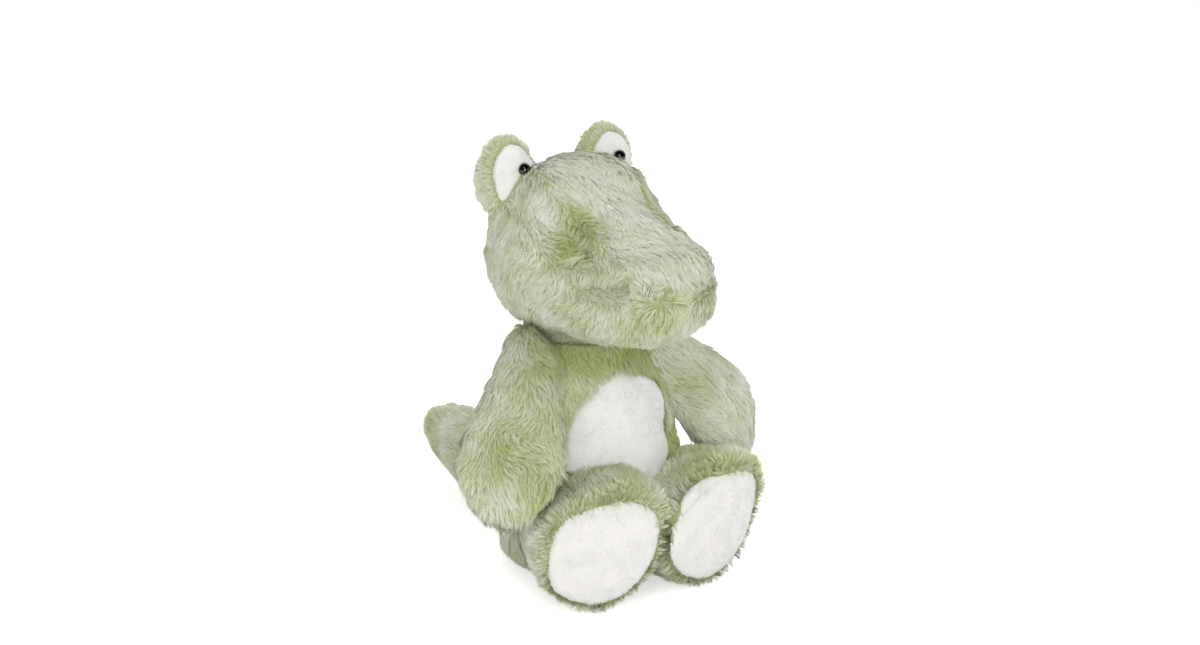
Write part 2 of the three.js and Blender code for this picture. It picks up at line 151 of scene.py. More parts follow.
def waves(seed, size, count=24):
    # a smooth random field of about unit spread, whose bumps are this many metres across
    rng = np.random.default_rng(seed)
    turn = unit(rng.normal(size=(count, 3))) * rng.uniform(0.6, 1.5, (count, 1)) * (math.pi / size)
    phase = rng.uniform(0, 2 * math.pi, count)
    return lambda points: np.sin(points @ turn.T + phase).sum(1) * math.sqrt(2 / count)


def lineGap(points, line):
    # how far each point lies from a line of corners given in millimetres
    corners = np.array(line, float) * mm
    gaps = [np.linalg.norm(points - corners[0], axis=1)]
    for start, end in zip(corners[:-1], corners[1:]):
        way = end - start
        along = np.clip((points - start) @ way / (way @ way), 0, 1)
        gaps.append(np.linalg.norm(points - start - along[:, None] * way, axis=1))
    return np.min(gaps, axis=0)


def onRight(points):
    # the same points with those of the toy's left half mirrored to its right
    mirrored = points.copy()
    mirrored[:, 0] = -np.abs(mirrored[:, 0])
    return mirrored


# Camera, floor and light

studio = {
    "azimuth": -33, "elevation": 16.5, "distance": 1.6,
    "lens": 69.3, "sensor": 36, "clip": (0.05, 100),
    "target": (0.0098, -0.0064, 0.173),
    "daylight": 0.56,  # even light from all round
    "floorWidth": 30.0, "floorGlow": 0.5,
    "flagAway": 3.0, "flagHeight": 4.0, "flagTurn": 125, "flagSteps": 10,
    "glint": ("softboxFront", "softboxLeft"),  # only these show in the beads
    "lamps": {  # place, width and power
        "softboxLeft": ((-1.3, -1.6, 2.0), 1.0, 11),
        "softboxTop": ((0.3, 0.4, 2.3), 1.4, 11),
        "softboxFront": ((-0.62, -1.43, 0.53), 0.6, 9),
        "softboxBack": ((1.2, 1.7, 1.3), 1.2, 12),
        "softboxNear": ((-1.9, 0.7, 1.1), 1.0, 7),
        "softboxFar": ((1.7, -1.1, 0.9), 1.0, 6),
    },
}


def makeCamera():
    a, e = math.radians(studio["azimuth"]), math.radians(studio["elevation"])
    back = Vector((math.sin(a) * math.cos(e), -math.cos(a) * math.cos(e), math.sin(e)))
    data = bpy.data.cameras.new("camera")
    data.lens, data.sensor_width = studio["lens"], studio["sensor"]
    data.clip_start, data.clip_end = studio["clip"]
    camera = addPiece("camera", data)
    camera.location = Vector(studio["target"]) + back * studio["distance"]
    camera.rotation_euler = (-back).to_track_quat("-Z", "Y").to_euler()
    scene.camera = camera


def makeLamp(name, place, width, power):
    data = bpy.data.lights.new(name, "AREA")
    data.shape, data.size, data.energy = "DISK", width, power
    lamp = addPiece(name, data)
    lamp.location = place
    aim = Vector(studio["target"]) - Vector(place)
    lamp.rotation_euler = aim.to_track_quat("-Z", "Y").to_euler()
    lamp.visible_glossy = name in studio["glint"]


def strengthSeen(tree, bounced, direct):
    # one strength where light bounces, and one where the camera, a gloss or a clear surface looks
    path = addNode(tree, "ShaderNodeLightPath")
    seen = path.outputs["Is Camera Ray"]
    for name in ("Is Glossy Ray", "Is Transmission Ray"):
        most = addNode(tree, "ShaderNodeMath", {"operation": "MAXIMUM"}, {0: seen, 1: path.outputs[name]})
        seen = most.outputs[0]
    level = addNode(tree, "ShaderNodeMapRange", {"To Min": bounced, "To Max": direct}, {"Value": seen})
    return {"Strength": level.outputs[0]}


def makeFloor():
    half = studio["floorWidth"] / 2
    mesh = bpy.data.meshes.new("floor")
    corners = [(-half, -half, 0), (half, -half, 0), (half, half, 0), (-half, half, 0)]
    mesh.from_pydata(corners, [], [(0, 1, 2, 3)])

    # Painted sweep, matt white: it shows nothing but the faint shadow under the toy
    material, tree = startMaterial("painted sweep, matt white")
    paint = addNode(tree, "ShaderNodeBsdfDiffuse", {"Color": hexColour("#f4f4f2")})
    glow = addNode(tree, "ShaderNodeEmission", {"Color": hexColour("#ffffff")},
                   strengthSeen(tree, 0.0, studio["floorGlow"]))
    both = addNode(tree, "ShaderNodeAddShader", links={0: paint.outputs[0], 1: glow.outputs[0]})
    showShader(tree, both)
    floor = addPiece("floor", mesh, material)


def makeFlag():
    # a black screen round the front that only gloss can see, so that the beads stay black
    away, steps = studio["flagAway"], studio["flagSteps"]
    shares = [2 * k / steps - 1 for k in range(steps + 1)]
    turns = [math.radians(studio["azimuth"] + studio["flagTurn"] * share) for share in shares]
    foot = [(away * math.sin(a), -away * math.cos(a), 0) for a in turns]
    head = [(x, y, studio["flagHeight"]) for x, y, _ in foot]
    walls = [(k, k + 1, steps + 2 + k, steps + 1 + k) for k in range(steps)]
    mesh = bpy.data.meshes.new("flag")
    mesh.from_pydata(foot + head, [], walls + [tuple(range(steps + 1, 2 * steps + 2))])

    # Velvet, napped: it swallows light, and shows in nothing but gloss
    material, tree = startMaterial("velvet, napped black")
    cloth = addNode(tree, "ShaderNodeBsdfDiffuse", {"Color": hexColour("#060606")})
    showShader(tree, cloth)
    flag = addPiece("flag", mesh, material)
    for rays in ("camera", "diffuse", "transmission", "volume_scatter", "shadow"):
        setattr(flag, f"visible_{rays}", False)


def makeWorld():
    world = bpy.data.worlds.new("studio")
    scene.world = world
    world.use_nodes = True
    tree = world.node_tree
    tree.nodes.clear()
    shade = addNode(tree, "ShaderNodeBackground", {"Color": hexColour("#ffffff")},
                    strengthSeen(tree, studio["daylight"], 1.0))
    addNode(tree, "ShaderNodeOutputWorld", links={"Surface": shade.outputs[0]})


makeCamera()
for name, lamp in studio["lamps"].items():
    makeLamp(name, *lamp)
makeFloor()
makeFlag()
makeWorld()
scene.view_settings.view_transform = "Standard"
print("studio ready")


# Skins: the sewn cloth of each stuffed form, smoothed from its solids

def pointsOf(mesh):
    co = np.zeros(len(mesh.vertices) * 3)
    mesh.vertices.foreach_get("co", co)
    return co.reshape(-1, 3)


def nodeMesh(names):
    points, faces, count = [], [], 0
    for name in names:
        mesh = frame["nodes"][name].data
        mesh.calc_loop_triangles()
        corners = np.zeros(len(mesh.loop_triangles) * 3, int)
        mesh.loop_triangles.foreach_get("vertices", corners)
        points.append(pointsOf(mesh))
        faces.append(corners.reshape(-1, 3) + count)
        count += len(mesh.vertices)
    return np.vstack(points), np.vstack(faces)


def nearest(names, points):
    # the distance to these solids, and the normal of their surface there
    corners, faces = nodeMesh(names)
    tree = BVHTree.FromPolygons(corners.tolist(), faces.tolist())
    gaps, normals = np.zeros(len(points)), np.zeros((len(points), 3))
    for index, point in enumerate(points):
        _, normals[index], _, gaps[index] = tree.find_nearest(point)
    return gaps, normals


def makeMesh(name, points, faces):
    mesh = bpy.data.meshes.new(name)
    mesh.vertices.add(len(points))
    mesh.vertices.foreach_set("co", np.asarray(points, np.float32).ravel())
    mesh.loops.add(faces.size)
    mesh.loops.foreach_set("vertex_index", faces.astype(np.int32).ravel())
    mesh.polygons.add(len(faces))
    mesh.polygons.foreach_set("loop_start", np.arange(len(faces), dtype=np.int32) * faces.shape[1])
    mesh.polygons.foreach_set("use_smooth", np.ones(len(faces), bool))
    mesh.update(calc_edges=True)
    return mesh


def sidesOf(faces):
    count = faces.shape[1]
    return np.vstack([faces[:, [k, (k + 1) % count]] for k in range(count)])


def remeshed(nodes, voxel, rounds):
    # one closed and smoothed skin of triangles round all these solids
    rough = addPiece("rough", makeMesh("rough", *nodeMesh(nodes)))
    change = rough.modifiers.new("voxels", "REMESH")
    change.mode, change.voxel_size = "VOXEL", voxel
    made = rough.evaluated_get(bpy.context.evaluated_depsgraph_get()).to_mesh()
    points = pointsOf(made)
    quads = np.array([p.vertices[:] for p in made.polygons if len(p.vertices) == 4])
    bpy.data.objects.remove(rough)
    points, quads = outerShell(points, quads)
    return evened(points, quads, rounds), halved(quads)


def outerShell(points, quads):
    # keeps the largest connected part
    mark = np.arange(len(points))
    edges = sidesOf(quads)
    while True:
        low = mark.copy()
        np.minimum.at(low, edges[:, 0], mark[edges[:, 1]])
        np.minimum.at(low, edges[:, 1], mark[edges[:, 0]])
        low = low[low]
        if (low == mark).all():
            break
        mark = low
    names, counts = np.unique(mark, return_counts=True)
    keep = mark == names[counts.argmax()]
    place = np.cumsum(keep) - 1
    return points[keep], place[quads[keep[quads].all(1)]]


pulls = (0.5, -0.53)  # towards the neighbours, and back


def evened(points, faces, rounds):
    # smooths without shrinking
    edges = np.unique(np.sort(sidesOf(faces), axis=1), axis=0)
    ends = np.concatenate([edges[:, 0], edges[:, 1]])
    others = np.concatenate([edges[:, 1], edges[:, 0]])
    share = 1 / np.maximum(np.bincount(ends, minlength=len(points)), 1)
    for turn in range(2 * rounds):
        total = np.stack([np.bincount(ends, points[others, k], len(points)) for k in range(3)], 1)
        points = points + (total * share[:, None] - points) * pulls[turn % 2]
    return points


def halved(quads):
    return np.vstack([quads[:, [0, 1, 2]], quads[:, [0, 2, 3]]])


def faceNormals(points, faces):
    # each as long as twice its triangle's area
    a, b, c = (points[faces[:, k]] for k in range(3))
    return np.cross(b - a, c - a)


def vertexNormals(points, faces):
    facing = faceNormals(points, faces)
    total = np.zeros_like(points)
    for k in range(3):
        for axis in range(3):
            total[:, axis] += np.bincount(faces[:, k], facing[:, axis], len(points))
    return unit(total)


def splitAlong(points, faces, values, field):
    # cuts triangles along the line where the field is zero, and carries the values to the new corners
    above = field > 0
    edges = np.unique(np.sort(sidesOf(faces), axis=1), axis=0)
    crossed = edges[above[edges[:, 0]] != above[edges[:, 1]]]
    first, last = crossed[:, 0], crossed[:, 1]
    share = (field[first] / (field[first] - field[last]))[:, None]
    number = {(int(i), int(j)): len(points) + k for k, (i, j) in enumerate(crossed)}
    points = np.vstack([points, points[first] + (points[last] - points[first]) * share])
    values = np.vstack([values, values[first] + (values[last] - values[first]) * share])
    field = np.concatenate([field, np.zeros(len(crossed))])
    made = []
    for face in faces:
        flags = above[face]
        if flags.all() or not flags.any():
            made.append(face)
            continue
        lone = int(np.flatnonzero(flags == (flags.sum() == 1))[0])
        a, b, c = (int(v) for v in np.roll(face, -lone))
        nearB, nearC = number[min(a, b), max(a, b)], number[min(a, c), max(a, c)]
        made += [(a, nearB, nearC), (nearB, b, c), (nearB, c, nearC)]
    return points, np.array(made), values, field


mouthLine = [(-52, -64, 222), (-46, -81, 224), (-39.5, -94, 226), (-34, -102, 227)]
# Seams and stuffing raise or draw in the forms: rise and width in mm, and the line that it follows.
# The head's lines are on the toy's right, and are mirrored on its left.
reliefs = {
    "head": {
        "topRidge": (4, 7, [(-34.8, -11, 274), (-31, -32, 267), (-31, -69, 251),
                            (-26, -97, 240), (-17, -113, 229)]),
        "crown": (7.5, 20, [(-28, 8, 283), (0, 10, 287)]),
        "brow": (1.5, 15, [(-30, -8, 277), (-32, -28, 269)]),
        "snout": (2.2, 24, [(0, -20, 278), (0, -60, 262), (0, -100, 241)]),
        "nose": (3.5, 16, [(0, -100, 241), (0, -116, 228)]),
        "noseCorner": (6, 15, [(-20, -106, 238)]),
        "eyeHollow": (-9, 17, [(-36, -40, 254), (-41, -55, 247)]),
        "cheek": (3, 24, [(-58, -22, 226), (-52, -52, 226)]),
        "mouth": (-9, 6, mouthLine),
        "jaw": (4, 16, [(-15, -117, 210), (0, -119, 206)]),
        "muzzle": (5, 14, [(-16, -117, 220), (0, -119, 222)]),
    },
    "headRight": {"brow": (2.5, 15, [(-30, -8, 277), (-32, -28, 269)])},
    "body": {
        "leftSide": (5, 22, [(50, -28, 120), (50, -28, 85)]),
        "rightHip": (5, 20, [(-55, 10, 14), (-60, -15, 22)]),
    },
}
# How sitting pushes them aside: the way and width in mm, and the line that it follows
pushes = {
    "arm_right": {
        "shoulder": ((1, 2, 8), 34, [(-52, 3, 175), (-60, -8, 170)]),
        "hand": ((-3, 0, -6), 30, [(-105, -72, 76)]),
    },
    "arm_left": {"outside": ((4, 0, 2), 40, [(125, -18, 118)])},
    "leg_right": {
        "outerTop": ((4, 0, -10), 26, [(-55, -74, 92), (-50, -58, 93)]),
        "innerTop": ((9, 0, 2), 24, [(-4, -94, 69), (-6, -70, 80)]),
    },
    "tail": {"tip": ((-4, 3, 0), 40, [(-8, 195, 50)])},
    "leg_left": {
        "innerTop": ((0, 0, -20), 30, [(18, -80, 84), (26, -58, 93)]),
        "outerTop": ((12, 0, 6), 30, [(80, -80, 74), (84, -60, 74)]),
        "innerSide": ((8, 0, 0), 25, [(2, -92, 62), (2, -80, 40)]),
    },
}
# Where the white reaches further into the fur, or less far, than an oval would
whiteCorners = {
    "body": {"leftTop": (8, 20, [(42, -32, 128), (34, -42, 134)]),
             "rightTop": (-4, 18, [(-16, -42, 136)])},
    "leg_right": {"outerSide": (-4, 24, [(-84, -84, 46)]), "outerTop": (4, 20, [(-66, -87, 82)]),
                  "outerLow": (5, 20, [(-77, -84, 16)]), "innerLow": (-3, 24, [(-18, -99, 18)])},
    "leg_left": {"outerTop": (3, 20, [(80, -84, 72)]), "innerTop": (14, 24, [(26, -90, 88)])},
}
for side in sides:  # and right round each bead's shank
    low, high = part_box(f"eye_{side}")
    shank = [tuple((a + b) / 2 / mm for a, b in zip(low, high))]
    whiteCorners[f"mound_{side}"] = {"bead": (6, 9, shank)}


def beside(points, line, width):
    # 1 on the line, fading to none at about twice this width
    return np.exp(-(lineGap(points, line) / (width * mm)) ** 2)


def riseOf(table, mirrored=False):
    def rise(points):
        place = onRight(points) if mirrored else points
        total = np.zeros(len(points))
        for height, width, line in table.values():
            total += height * mm * beside(place, line, width)
        return total
    return rise


def pushOf(table):
    def push(points):
        total = np.zeros_like(points)
        for way, width, line in table.values():
            total += np.outer(beside(points, line, width), way) * mm
        return total
    return push


def makeSkin(form):
    # the cloth of one stuffed form, which of its panels each face is on, and how far its edges are
    points, faces = remeshed(form["panels"] + form["filling"], form["voxel"], form["smoothing"])
    gaps = np.stack([nearest([name], points)[0] for name in form["panels"]], 1)
    white = np.array([name in whiteNodes for name in form["panels"]])
    field = np.ones(len(points))  # below 0 on the white
    if white.any():
        field = gaps[:, white].min(1) - gaps[:, ~white].min(1) - form["whiteGrows"](points)
        points, faces, gaps, field = splitAlong(points, faces, gaps, field)
    onWhite = field[faces].sum(1) < 0
    choice = gaps[faces].mean(1)
    choice[np.ix_(onWhite, ~white)] = 1
    choice[np.ix_(~onWhite, white)] = 1

    far = np.ones(len(points))
    carried, sink = far, np.zeros_like(points)
    if form["carriedBy"]:
        carried, facing = nearest(form["carriedBy"], points)
        close = 1 - step(carried, form["rootGap"] * form["rootNear"], form["rootGap"])
        sink = -facing * (close * form["rootSink"])[:, None]
    carries = nearest(form["carries"], points)[0] if form["carries"] else far
    seam = np.sort(gaps, axis=1)[:, 1] if len(white) > 1 else far

    whiteShare = 1 - step(field, -form["whiteFade"], form["whiteFade"])
    depth = form["furDepth"] * (1 - whiteShare) + form["whiteDepth"] * whiteShare
    depth = depth * step(np.minimum(carried, carries), *form["edgeFade"])
    onFloor = 1 - step(points[:, 2], *form["floorFade"])
    crease = form["creaseDepth"] * np.exp(-(seam / form["creaseWidth"]) ** 2)
    crease = crease * step(carried, *form["creaseFade"]) * (1 - onFloor)
    depth = depth * (1 - form["floorFlat"] * onFloor) + crease - form["rise"](points)
    moved = points - vertexNormals(points, faces) * depth[:, None] + sink + form["push"](points)
    moved = evened(moved, faces, 1)
    moved[:, 2] = np.maximum(moved[:, 2], form["floorClear"])
    return {
        "points": moved, "faces": faces, "normals": vertexNormals(moved, faces),
        "panel": choice.argmin(1), "root": carried, "covered": carries,
        "edge": np.minimum(carried, carries), "rim": np.abs(field),
    }


def withSides(*names):
    return [f"{name}_{side}" for side in sides for name in names]


whiteNodes = ["belly_panel", *withSides("sole", "eye_patch")]
headPanels = ["chin_panel", "head_top_panel", *withSides("cheek_panel")]
bodyPanels = ["seat_panel", "body_back_panel", "body_front_panel", "belly_panel"]
tailPanels = withSides("tail_panel")
limbPanels = withSides("arm_outer_panel", "arm_inner_panel", "leg_cover")


def formOf(panels, filling, carriedBy, carries, **changes):
    # its panels and filling, the solids that carry it and those that it carries
    return {
        "panels": panels, "filling": filling, "carriedBy": carriedBy, "carries": carries,
        "voxel": 3.2 * mm, "smoothing": 6,
        "furDepth": 3.2 * mm, "whiteDepth": 1.2 * mm,  # from the pile's tips down to the cloth
        "whiteFade": 2 * mm, "edgeFade": (0.5 * mm, 9 * mm),
        "creaseDepth": 2 * mm, "creaseWidth": 4 * mm, "creaseFade": (2 * mm, 12 * mm),
        "rootGap": 4 * mm, "rootNear": 0.4, "rootSink": 8 * mm,  # a limb's root reaches into the body
        "floorClear": 1.5 * mm, "floorFade": (0.5 * mm, 8 * mm), "floorFlat": 0.6,
        "rise": riseOf({}), "push": pushOf({}), "whiteGrows": riseOf({}),
        **changes,
    }


bothSides, rightOnly = riseOf(reliefs["head"], True), riseOf(reliefs["headRight"])
forms = {
    "head": formOf(headPanels, ["head_stuffing"], bodyPanels, withSides("eye_mound"),
                   creaseDepth=0.8 * mm, rise=lambda points: bothSides(points) + rightOnly(points)),
    "body": formOf(bodyPanels, ["body_stuffing", "seat_bean_bag"], [],
                   limbPanels + tailPanels + ["chin_panel"],
                   rise=riseOf(reliefs["body"]), whiteGrows=riseOf(whiteCorners["body"])),
    "tail": formOf(tailPanels, ["tail_stuffing"], bodyPanels, [],
                   rootGap=9 * mm, rootSink=10 * mm, push=pushOf(pushes["tail"])),
}
for side in sides:
    forms[f"mound_{side}"] = formOf(
        [f"eye_mound_{side}", f"eye_patch_{side}"], [f"eye_mound_stuffing_{side}", f"eye_washer_{side}"],
        headPanels, [], voxel=2 * mm, furDepth=3 * mm, creaseDepth=1 * mm,
        whiteGrows=riseOf(whiteCorners[f"mound_{side}"]))
    forms[f"arm_{side}"] = formOf(
        [f"arm_outer_panel_{side}", f"arm_inner_panel_{side}"], [f"arm_stuffing_{side}"], bodyPanels, [],
        push=pushOf(pushes[f"arm_{side}"]))
    forms[f"leg_{side}"] = formOf(
        [f"leg_cover_{side}", f"sole_{side}"], [f"leg_stuffing_{side}"], bodyPanels, [],
        push=pushOf(pushes[f"leg_{side}"]), whiteGrows=riseOf(whiteCorners[f"leg_{side}"]))

skins = {name: makeSkin(form) for name, form in forms.items()}
print("skins:", {name: len(skin["faces"]) for name, skin in skins.items()})


# Pile: each strand is a slender three-sided lock, rooted in the cloth

def towards(x, y, z):
    return lambda p, n: np.tile(np.array([x, y, z], float), (len(p), 1))


pile = {
    "perSquareMm": 1.45, "most": 19000,
    "length": 8 * mm,
    "rootRadius": 0.21 * mm,
    "lift": 26, "tipLift": 9,  # degrees above the cloth, at the root and at the tip
    "swirl": 13, "swirlSize": 24 * mm,  # how far the combing strays, in degrees
    "stray": 9,
    "clumpOf": 6, "clump": 0.3,
    "uneven": 3,  # degrees by which locks stand up more or less
    "sag": 0.08,
    "rimLift": 0, "rimOver": 0.0,  # beside the white: more lift, and the share that falls across it
    "shading": (0.5, 0.3, 0.4),  # how far it follows the cloth, the lying strand and its own roundness
    "tone": 0.0, "toneSpread": 1.0,
    "clothThickness": 1.2 * mm,
    "floorClear": 0.2 * mm,
    "comb": towards(0, 0, -1),
    "rows": 0,  # how far apart the pile is set in rows, if it is
    "quickShare": 0.25,  # for a trial render
    "coverFade": (0.5 * mm, 3 * mm), "rootFade": (1.5 * mm, 4 * mm), "least": 0.02,  # none where forms meet
    "ruffleSize": 9 * mm, "ruffleTurn": 0.35, "ruffleLength": 0.1, "tipShift": 10 * mm,
    "lockTurn": 0.8, "ownTurn": 0.5, "ownLift": 0.7,  # a strand strays with its lock and by itself
    "rootDepth": 0.4 * mm,
    "bendAt": 0.48, "bendThick": 0.8, "bow": 0.06, "bowBack": 0.5,
    "lengthSpread": 0.15, "lengthLimits": (0.3, 1.4), "radiusSpread": 0.15,
    "edgeLength": 0.65, "edgeFade": (2 * mm, 10 * mm),  # shorter beside another form
    "partAt": 0.35, "partLength": 0.5,  # and where the combing parts
    "rimFade": (1.5 * mm, 6 * mm),
    "liftLimits": (6, 80), "tipLimits": (-8, 70),
    "clumpSpread": 0.15, "clumpMost": 0.92, "tipsApart": 0.15, "bendsApart": 0.6, "bendPull": 0.5,
    "unevenByLift": 0.5, "clumpByLift": 0.03,  # more of both where the pile is ruffled
    "toneSize": 26 * mm, "tones": {"patch": 0.13, "ruffle": 0.06, "lock": 0.08, "own": 0.06, "row": 0.16},
}

# Where handling has ruffled the pile, and where shade or light is painted into its tone: change of tone,
# lift and swirl, radius in mm, and the line
ruffleAndShadeSpots = {
    "head": {  # on the toy's right, and mirrored on its left
        # painted shade: the pile in the eye hollow is darkened, besides being ruffled
        "eyeHollow": (-0.6, 10, 24, 29, [(-37, -46, 251)]),
        "muzzle": (-0.12, 12, 12, 24, [(-18, -117, 217)]),
        "cheek": (0.04, 5, 10, 20, [(-50, -60, 236)]),
        # painted shade: the pile along the mouth crease is darkened
        "mouth": (-0.4, 5, 4, 9, mouthLine),
    },
    "whole": {
        "nape": (0.3, 11, 0, 22, [(-24, 70, 246), (24, 70, 246)]),
        "rightForearm": (-0.3, 10, 22, 28, [(-91, -60, 120)]),
        # painted light: the hip, in the arm's shadow, is given a paler tone
        "rightHip": (0.2, 2, 6, 40, [(-60, 0, 30), (-66, -24, 24)]),
        # painted shade: the pile in the armpit, between the arm and the body, is darkened
        "rightArmpit": (-0.35, 6, 8, 20, [(-46, -30, 160), (-44, -8, 174)]),
        "rightUpperArm": (-0.14, 4, 8, 24, [(-66, -33, 158)]),
        "rightHand": (-0.2, 8, 20, 24, [(-80, -78, 97)]),
        "leftArm": (-0.2, 5, 12, 26, [(71, -41, 129)]),
        "rightLeg": (-0.34, 14, 20, 34, [(-42, -87, 90), (-44, -56, 93)]),
        "leftLeg": (-0.34, 12, 18, 32, [(36, -84, 90), (40, -56, 93)]),
        # painted shadow: the pile along the collar, under the chin, is darkened
        "shadeUnderChin": (-0.4, 6, 8, 16, [(-44, -12, 158), (0, -40, 158), (44, -12, 158)]),
    },
}
spotCore = 0.3  # the share of the radius that is changed in full


def ruffleAndShadeAt(points):
    # changes of tone, lift and swirl at these points; some of the tone changes are painted shade and painted
    # light
    change = np.zeros((3, len(points)))
    for place, part in ((onRight(points), "head"), (points, "whole")):
        for *shift, radius, line in ruffleAndShadeSpots[part].values():
            near = 1 - step(lineGap(place, line), spotCore * radius * mm, radius * mm)
            change += np.outer(shift, near)
    return change


def scatter(skin, faces, look, rng):
    # random roots on the open faces, with what the skin knows there
    area = np.linalg.norm(faceNormals(skin["points"], faces), axis=1) / 2
    bare = step(skin["covered"], *look["coverFade"]) * step(skin["root"], *look["rootFade"])
    wanted = area * look["perSquareMm"] / mm ** 2 * np.clip(bare[faces].mean(1), look["least"], 1)
    wanted = wanted * min(1, look["most"] / wanted.sum()) * 1
    picked = np.repeat(np.arange(len(faces)), np.floor(wanted + rng.random(len(wanted))).astype(int))
    share = rng.random((len(picked), 2))
    folded = share.sum(1) > 1
    share[folded] = 1 - share[folded]
    weights = np.column_stack([1 - share.sum(1), share])
    corners = faces[picked]
    return [np.einsum("ij,ij...->i...", weights, skin[name][corners])
            for name in ("points", "normals", "edge", "rim")]


def gather(root, look, rng):
    # the strand that each strand leans towards
    chosen = rng.choice(len(root), max(1, len(root) // look["clumpOf"]), replace=False)
    tree = KDTree(len(chosen))
    for index, strand in enumerate(chosen):
        tree.insert(root[strand], index)
    tree.balance()
    return chosen[[tree.find(place)[1] for place in root]]


def growStrands(skin, faces, look, seed):
    rng = np.random.default_rng(seed)
    root, normal, edge, rim = scatter(skin, faces, look, rng)
    normal = unit(normal)
    number = len(root)
    swirl = waves(seed + 1, look["swirlSize"])(root)
    ruffle = waves(seed + 2, look["ruffleSize"])
    here, onward = ruffle(root), ruffle(root + look["tipShift"])
    patch = waves(seed + 3, look["toneSize"])(root)
    toneChange, liftChange, swirlChange = ruffleAndShadeAt(root)
    mine = gather(root, look, rng)
    lock = rng.normal(size=(number, 3))[mine]  # shared by a lock of strands
    own = rng.normal(size=(number, 3))
    uneven = look["uneven"] + look["unevenByLift"] * liftChange
    byRim = 1 - step(rim, *look["rimFade"])
    liftChange = liftChange + look["rimLift"] * byRim

    comb = look["comb"](root, normal)
    comb = comb - normal * (comb * normal).sum(1, keepdims=True)
    steady = np.clip(np.linalg.norm(comb, axis=1) / look["partAt"], look["partLength"], 1)
    falls = rng.random(number) < look["rimOver"] * byRim
    comb = unit(comb) * np.where(falls, -1, 1)[:, None]
    across = np.cross(normal, comb)
    turn = (look["swirl"] + swirlChange) * (swirl + look["ruffleTurn"] * here)
    stray = look["lockTurn"] * lock[:, 0] + look["ownTurn"] * own[:, 0]
    turn = np.radians(turn + look["stray"] * stray)[:, None]
    comb, across = comb * np.cos(turn) + across * np.sin(turn), across * np.cos(turn) - comb * np.sin(turn)

    longer = 1 + look["lengthSpread"] * rng.normal(size=number) + look["ruffleLength"] * here
    length = look["length"] * longer
    short = look["edgeLength"]
    length = length * steady * (short + (1 - short) * step(edge, *look["edgeFade"]))
    length = np.clip(length, *(share * look["length"] for share in look["lengthLimits"]))
    lift = look["lift"] + liftChange + uneven * (here + lock[:, 1] + look["ownLift"] * own[:, 1])
    fall = look["tipLift"] + liftChange + uneven * (onward + lock[:, 1] + look["ownLift"] * own[:, 2])
    lift = np.radians(np.clip(lift, *look["liftLimits"]))[:, None]
    fall = np.radians(np.clip(fall, *look["tipLimits"]))[:, None]
    first = comb * np.cos(lift) + normal * np.sin(lift)
    last = unit(comb * np.cos(fall) + normal * np.sin(fall) + np.array([0, 0, -look["sag"]]))
    bow = across * (look["bow"] * length * rng.normal(size=number))[:, None]

    start = root - normal * look["rootDepth"]
    middle = start + first * (look["bendAt"] * length)[:, None] + bow
    tip = middle + last * ((1 - look["bendAt"]) * length)[:, None] - look["bowBack"] * bow

    # neighbouring tips lean together into locks
    pull = look["clump"] + look["clumpByLift"] * liftChange
    pull = pull + look["clumpSpread"] * rng.normal(size=number)
    pull = np.clip(pull, 0, look["clumpMost"])[:, None]
    spread = start - start[mine]
    tip = tip + (tip[mine] + look["tipsApart"] * spread - tip) * pull
    middle = middle + (middle[mine] + look["bendsApart"] * spread - middle) * pull * look["bendPull"]

    radius = look["rootRadius"] * (1 + look["radiusSpread"] * rng.normal(size=number))
    byCloth, byLie, byRound = look["shading"]
    spin = rng.uniform(0, 2 * math.pi, number)
    made, shade = np.zeros((2, number, len(strandMap), 3))
    rings = [(start, middle - start, 1.0), (middle, tip - start, look["bendThick"])]
    for ring, (centre, way, thick) in enumerate(rings):
        right = unit(np.cross(unit(way), normal + 0.01))  # a little askew, so that it never vanishes
        over = np.cross(right, unit(way))
        for k in range(3):
            angle = (spin + k * 2 * math.pi / 3)[:, None]
            out = right * np.cos(angle) + over * np.sin(angle)
            made[:, 3 * ring + k] = centre + out * (radius * thick)[:, None]
            shade[:, 3 * ring + k] = byCloth * normal + byLie * over + byRound * out
    made[:, 6] = tip
    last = unit(tip - middle)
    shade[:, 6] = byCloth * normal + byLie * unit(np.cross(np.cross(last, normal), last))
    made[..., 2] = np.maximum(made[..., 2], look["floorClear"])

    tones = {"patch": patch, "ruffle": here, "lock": lock[:, 2], "own": own[:, 0]}
    if look["rows"]:
        tones["row"] = np.sin(root[:, 0] * 2 * math.pi / look["rows"])
    hue = sum(look["tones"][name] * values for name, values in tones.items())
    hue = 0.5 + look["toneSpread"] * hue + look["tone"] + toneChange
    return made, unit(shade), np.clip(hue, 0.01, 0.97)


# one strand: its root ring, its middle ring and its tip, and the place of each on the map
ringNext = (1, 2, 0)
strandFaces = [(3 + n, n, k) for k, n in enumerate(ringNext)]
strandFaces += [(3 + k, 3 + n, k) for k, n in enumerate(ringNext)]
strandFaces += [(6, 3 + n, 3 + k) for k, n in enumerate(ringNext)]
strandFaces.append((1, 2, 0))
strandMap = np.array([(0, 0.01), (1, 0.03), (2, 0.01), (0, 0.5), (1, 0.5), (2, 0.5), (1, 0.99)])
toneWidth = 0.004
grown = []  # strands of each piece


def clothUnder(skin, faces, thickness):
    # a closed sheet under these faces: its points, normals and triangles
    used, place = np.unique(faces, return_inverse=True)
    count, top = len(used), place.reshape(faces.shape)
    edges = sidesOf(top)
    _, index, uses = np.unique(np.sort(edges, axis=1), axis=0, return_inverse=True, return_counts=True)
    i, j = edges[uses[index.ravel()] == 1].T
    walls = np.vstack([np.stack([j, i, i + count], 1), np.stack([j, i + count, j + count], 1)])
    points, normals = skin["points"][used], skin["normals"][used]
    return (np.vstack([points, points - normals * thickness]), np.vstack([normals, -normals]),
            np.vstack([top, top[:, ::-1] + count, walls]))


